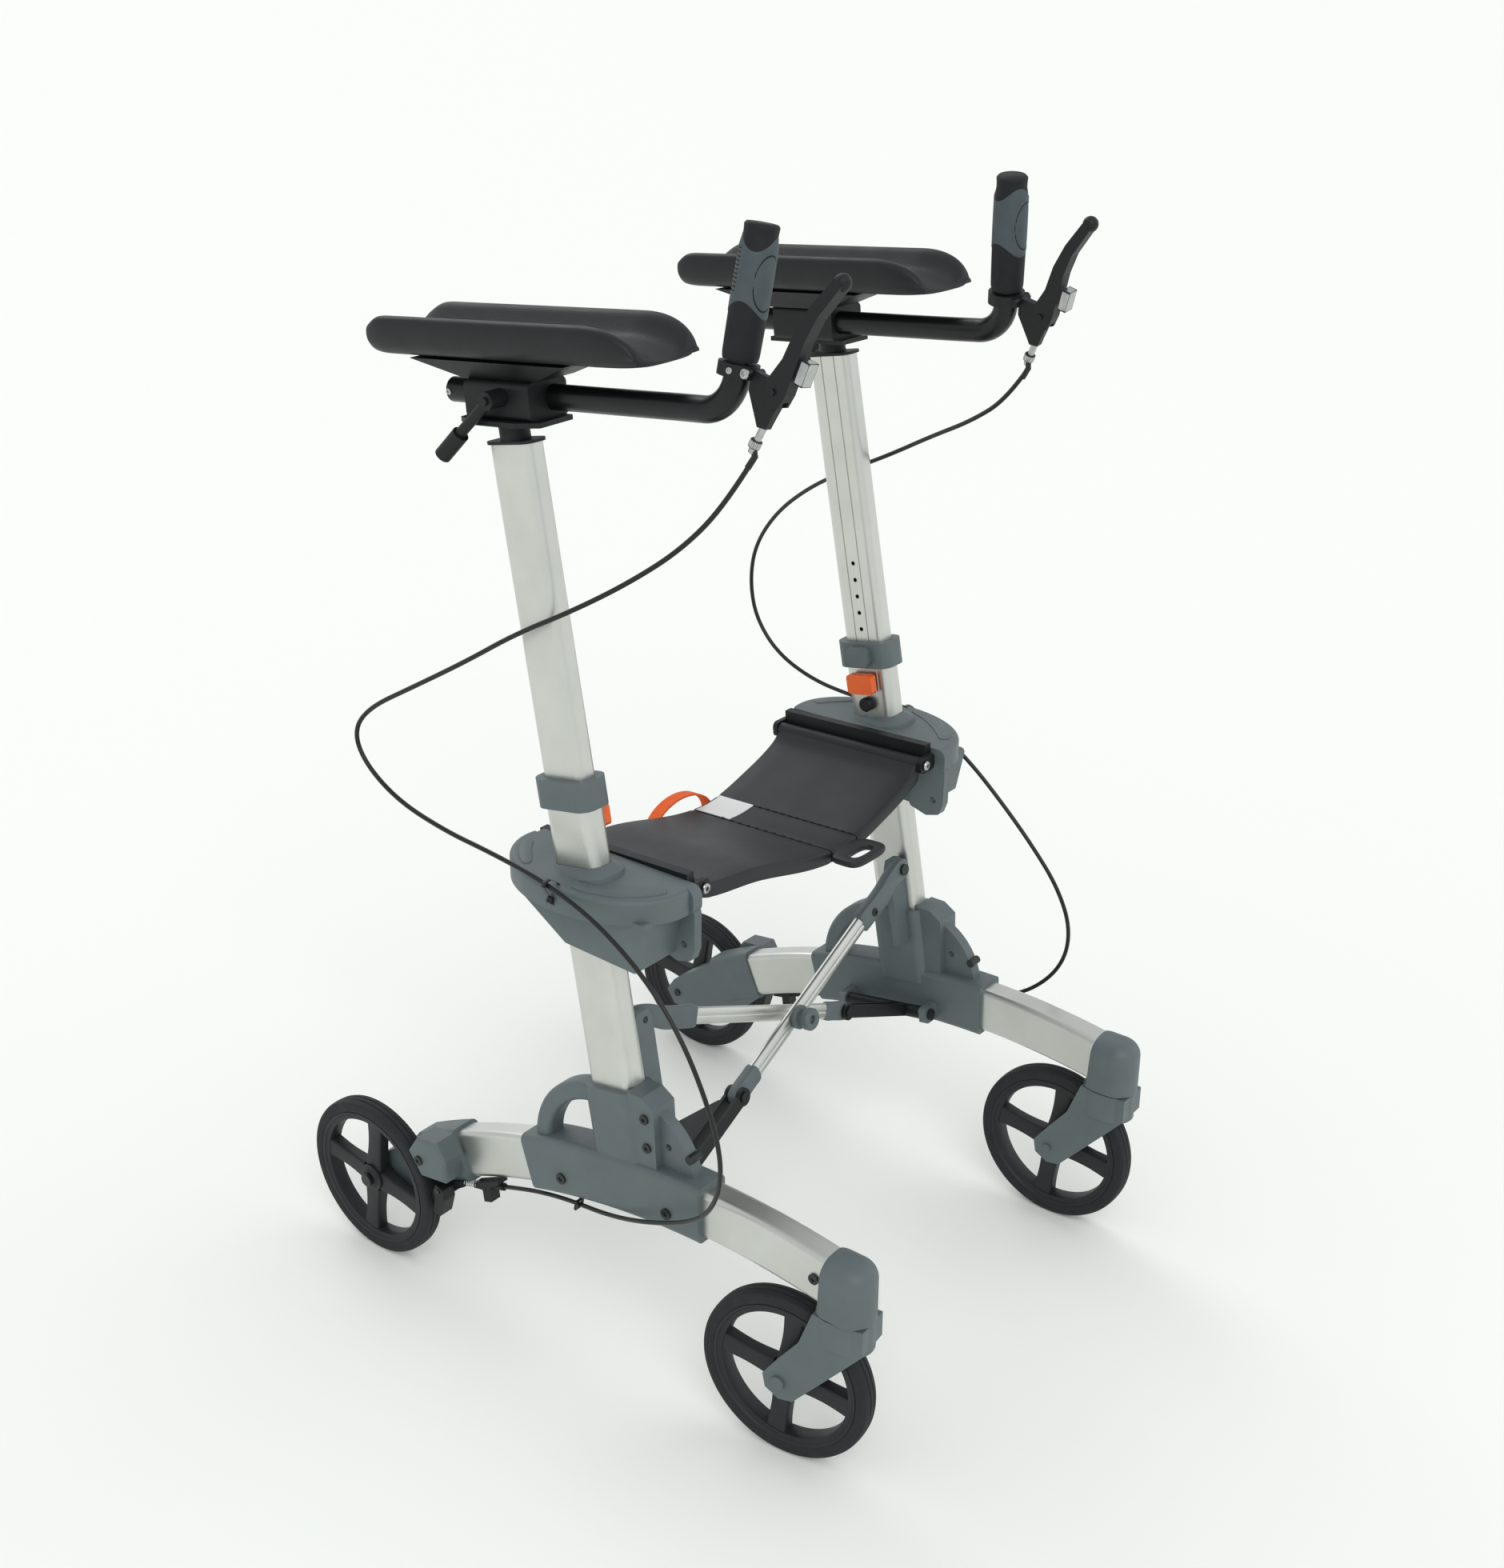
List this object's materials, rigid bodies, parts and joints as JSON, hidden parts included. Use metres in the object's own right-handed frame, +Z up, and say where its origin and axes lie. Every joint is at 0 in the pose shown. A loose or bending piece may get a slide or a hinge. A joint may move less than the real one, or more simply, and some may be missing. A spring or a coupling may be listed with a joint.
{
  "type": "forearm support rollator",
  "caption": "Side-folding walking frame with padded forearm troughs, upright hand grips with brake levers, swivel front wheels and a sling seat.",
  "frame": {"origin": "centre of the footprint on the floor", "axes": "+Z up, -Y the way it rolls forwards, +X to the user's left"},
  "size_m": [0.6807, 0.7995, 1.2467],
  "materials": {
    "plastic_grey": "fine-grained moulded nylon",
    "plastic_black": "moulded black nylon",
    "alu": "satin anodised",
    "pad_foam": "self-skinned polyurethane foam",
    "bar_black": "satin black powder coat",
    "grip_rubber": "matt rubber",
    "orange": "bright orange moulding",
    "black_screws": "black oxide",
    "cable_black": "extruded cable jacket",
    "wheel": "soft tyre on a moulded hub",
    "seat": "textured soft panel",
    "strap": "orange woven webbing"
  },
  "bodies": {
    "right_frame": {"right_rail": "alu", "right_joint_housing": "plastic_grey", "right_lower_upright": "alu", "right_height_collar": "plastic_grey", "right_seat_bracket": "plastic_grey", "right_seat_hinge_bar": "plastic_black", "right_rear_wheel_bracket": "plastic_grey", "right_caster_head": "plastic_grey", "right_frame_fasteners": "black_screws", "right_brake_cable": "cable_black", "right_brake_fittings": "plastic_black"},
    "left_frame": {"left_rail": "alu", "left_joint_housing": "plastic_grey", "left_lower_upright": "alu", "left_height_collar": "plastic_grey", "left_seat_bracket": "plastic_grey", "left_seat_hinge_bar": "plastic_black", "left_rear_wheel_bracket": "plastic_grey", "left_caster_head": "plastic_grey", "left_frame_fasteners": "black_screws", "left_brake_cable": "cable_black", "left_brake_fittings": "plastic_black"},
    "left_upper": {"left_upper_upright": "alu", "left_arm_post": "plastic_black"},
    "left_arm_support": {"left_clamp_block": "plastic_black", "left_pad_base": "plastic_black", "left_arm_pad": "pad_foam"},
    "left_handlebar": {"left_handlebar": "bar_black", "left_grip": "grip_rubber", "left_lever_bracket": "plastic_black"},
    "left_clamp_lever": {"left_clamp_lever": "plastic_black"},
    "left_brake_lever": {"left_brake_lever": "plastic_black"},
    "left_release_button": {"left_release_button": "orange"},
    "left_brake_shoe": {"left_brake_shoe": "plastic_black"},
    "left_rear_wheel": {"left_rear_wheel": "wheel"},
    "left_caster": {"left_caster_fork": "plastic_grey"},
    "left_front_wheel": {"left_front_wheel": "wheel"},
    "right_upper": {"right_upper_upright": "alu", "right_arm_post": "plastic_black"},
    "right_arm_support": {"right_clamp_block": "plastic_black", "right_pad_base": "plastic_black", "right_arm_pad": "pad_foam"},
    "right_handlebar": {"right_handlebar": "bar_black", "right_grip": "grip_rubber", "right_lever_bracket": "plastic_black"},
    "right_clamp_lever": {"right_clamp_lever": "plastic_black"},
    "right_brake_lever": {"right_brake_lever": "plastic_black"},
    "right_release_button": {"right_release_button": "orange"},
    "right_brake_shoe": {"right_brake_shoe": "plastic_black"},
    "right_rear_wheel": {"right_rear_wheel": "wheel"},
    "right_caster": {"right_caster_fork": "plastic_grey"},
    "right_front_wheel": {"right_front_wheel": "wheel"},
    "brace_arm_front": {"brace_arm_front": "alu"},
    "brace_arm_rear": {"brace_arm_rear": "alu"},
    "brace_link_front": {"brace_link_front": "plastic_black"},
    "brace_link_rear": {"brace_link_rear": "plastic_black"},
    "right_seat": {"right_seat_panel": "seat"},
    "left_seat": {"left_seat_panel": "seat", "seat_centre": "seat", "lift_strap": "strap"}
  },
  "joints": [
    {"name": "fold", "type": "slide", "parent": "right_frame", "child": "left_frame", "axis": [-1, 0, 0], "range_m": [0, 0.26]},
    {"name": "brace_arm_front_turn", "type": "hinge", "parent": "left_frame", "child": "brace_arm_front", "pos_m": [0.23, -0.05221, 0.413], "axis": [0, 0.9857, -0.1685], "range_deg": [-35.5, 0]},
    {"name": "brace_arm_rear_turn", "type": "hinge", "parent": "right_frame", "child": "brace_arm_rear", "pos_m": [-0.23, -0.05221, 0.413], "axis": [0, 0.9857, -0.1685], "range_deg": [0, 35.5]},
    {"name": "brace_link_front_turn", "type": "hinge", "parent": "right_frame", "child": "brace_link_front", "pos_m": [-0.23, -0.08434, 0.22503], "axis": [0, 0.9857, -0.1685], "range_deg": [0, 112]},
    {"name": "brace_link_rear_turn", "type": "hinge", "parent": "left_frame", "child": "brace_link_rear", "pos_m": [0.23, -0.08434, 0.22503], "axis": [0, 0.9857, -0.1685], "range_deg": [-112, 0]},
    {"name": "right_seat_turn", "type": "hinge", "parent": "right_frame", "child": "right_seat", "pos_m": [-0.2, -0.022, 0.575], "axis": [0, 0.9994, -0.0349], "range_deg": [-61.3, 0], "deforming": ["right_seat_panel"]},
    {"name": "left_seat_turn", "type": "hinge", "parent": "left_frame", "child": "left_seat", "pos_m": [0.2, -0.022, 0.575], "axis": [0, 0.9994, -0.0349], "range_deg": [0, 106.5], "deforming": ["left_seat_panel", "seat_centre", "lift_strap"]},
    {"name": "left_height", "type": "slide", "parent": "left_frame", "child": "left_upper", "axis": [-0.0117, 0.1685, 0.9856], "range_m": [-0.1, 0.06], "deforming": ["left_brake_cable"]},
    {"name": "left_release_press", "type": "slide", "parent": "left_frame", "child": "left_release_button", "axis": [0.9999, 0.002, 0.0115], "range_m": [0, 0.004], "stiffness_N_per_m": 800},
    {"name": "left_arm_swivel", "type": "hinge", "parent": "left_upper", "child": "left_arm_support", "pos_m": [0.2557, 0.05562, 1.0438], "axis": [-0.0117, 0.1685, 0.9856], "range_deg": [-20, 20]},
    {"name": "left_handlebar_reach", "type": "slide", "parent": "left_arm_support", "child": "left_handlebar", "axis": [0.0262, 0.9966, -0.0785], "range_m": [-0.04, 0.02]},
    {"name": "left_clamp_turn", "type": "hinge", "parent": "left_arm_support", "child": "left_clamp_lever", "pos_m": [0.27684, 0.05815, 1.06646], "axis": [0.9997, -0.0263, 0], "range_deg": [-50, 25]},
    {"name": "left_brake_squeeze", "type": "hinge", "parent": "left_handlebar", "child": "left_brake_lever", "pos_m": [0.22346, -0.23911, 1.10595], "axis": [-0.9881, 0.0145, -0.1528], "range_deg": [0, 18], "stiffness_Nm_per_rad": 1.2, "springref_deg": -11.46},
    {"name": "left_shoe_turn", "type": "hinge", "parent": "left_frame", "child": "left_brake_shoe", "pos_m": [0.302, 0.184, 0.13], "axis": [1, 0, 0], "range_deg": [0, 3.1]},
    {"name": "left_rear_roll", "type": "hinge", "parent": "left_frame", "child": "left_rear_wheel", "pos_m": [0.302, 0.3, 0.1], "axis": [1, 0, 0], "continuous": true},
    {"name": "left_caster_turn", "type": "hinge", "parent": "left_frame", "child": "left_caster", "pos_m": [0.267, -0.362, 0.19], "axis": [0, 0, 1], "continuous": true},
    {"name": "left_front_roll", "type": "hinge", "parent": "left_caster", "child": "left_front_wheel", "pos_m": [0.26612, -0.29901, 0.1], "axis": [0.9999, 0.014, 0], "continuous": true},
    {"name": "right_height", "type": "slide", "parent": "right_frame", "child": "right_upper", "axis": [0.0117, 0.1685, 0.9856], "range_m": [-0.1, 0.06], "deforming": ["right_brake_cable"]},
    {"name": "right_release_press", "type": "slide", "parent": "right_frame", "child": "right_release_button", "axis": [-0.9999, 0.002, 0.0115], "range_m": [0, 0.004], "stiffness_N_per_m": 800},
    {"name": "right_arm_swivel", "type": "hinge", "parent": "right_upper", "child": "right_arm_support", "pos_m": [-0.2557, 0.05562, 1.0438], "axis": [0.0117, 0.1685, 0.9856], "range_deg": [-20, 20]},
    {"name": "right_handlebar_reach", "type": "slide", "parent": "right_arm_support", "child": "right_handlebar", "axis": [-0.0262, 0.9966, -0.0785], "range_m": [-0.04, 0.02]},
    {"name": "right_clamp_turn", "type": "hinge", "parent": "right_arm_support", "child": "right_clamp_lever", "pos_m": [-0.27684, 0.05815, 1.06646], "axis": [0.9997, 0.0263, 0], "range_deg": [-50, 25]},
    {"name": "right_brake_squeeze", "type": "hinge", "parent": "right_handlebar", "child": "right_brake_lever", "pos_m": [-0.22346, -0.23911, 1.10595], "axis": [-0.9881, -0.0145, 0.1528], "range_deg": [0, 18], "stiffness_Nm_per_rad": 1.2, "springref_deg": -11.46},
    {"name": "right_shoe_turn", "type": "hinge", "parent": "right_frame", "child": "right_brake_shoe", "pos_m": [-0.302, 0.184, 0.13], "axis": [1, 0, 0], "range_deg": [0, 3.1]},
    {"name": "right_rear_roll", "type": "hinge", "parent": "right_frame", "child": "right_rear_wheel", "pos_m": [-0.302, 0.3, 0.1], "axis": [1, 0, 0], "continuous": true},
    {"name": "right_caster_turn", "type": "hinge", "parent": "right_frame", "child": "right_caster", "pos_m": [-0.267, -0.362, 0.19], "axis": [0, 0, 1], "continuous": true},
    {"name": "right_front_roll", "type": "hinge", "parent": "right_caster", "child": "right_front_wheel", "pos_m": [-0.27435, -0.29943, 0.1], "axis": [0.9932, 0.1167, 0], "continuous": true}
  ],
  "couplings": [
    {"joint": "brace_arm_front_turn", "follows": "fold", "rad_per_m": -2.37},
    {"joint": "brace_arm_rear_turn", "follows": "fold", "rad_per_m": 2.37},
    {"joint": "brace_link_front_turn", "follows": "fold", "rad_per_m": 7.51},
    {"joint": "brace_link_rear_turn", "follows": "fold", "rad_per_m": -7.51},
    {"joint": "right_seat_turn", "follows": "fold", "rad_per_m": -4.108},
    {"joint": "left_seat_turn", "follows": "fold", "rad_per_m": 7.136},
    {"joint": "left_shoe_turn", "follows": "left_brake_squeeze", "ratio": 0.16667},
    {"joint": "right_shoe_turn", "follows": "right_brake_squeeze", "ratio": 0.16667}
  ]
}
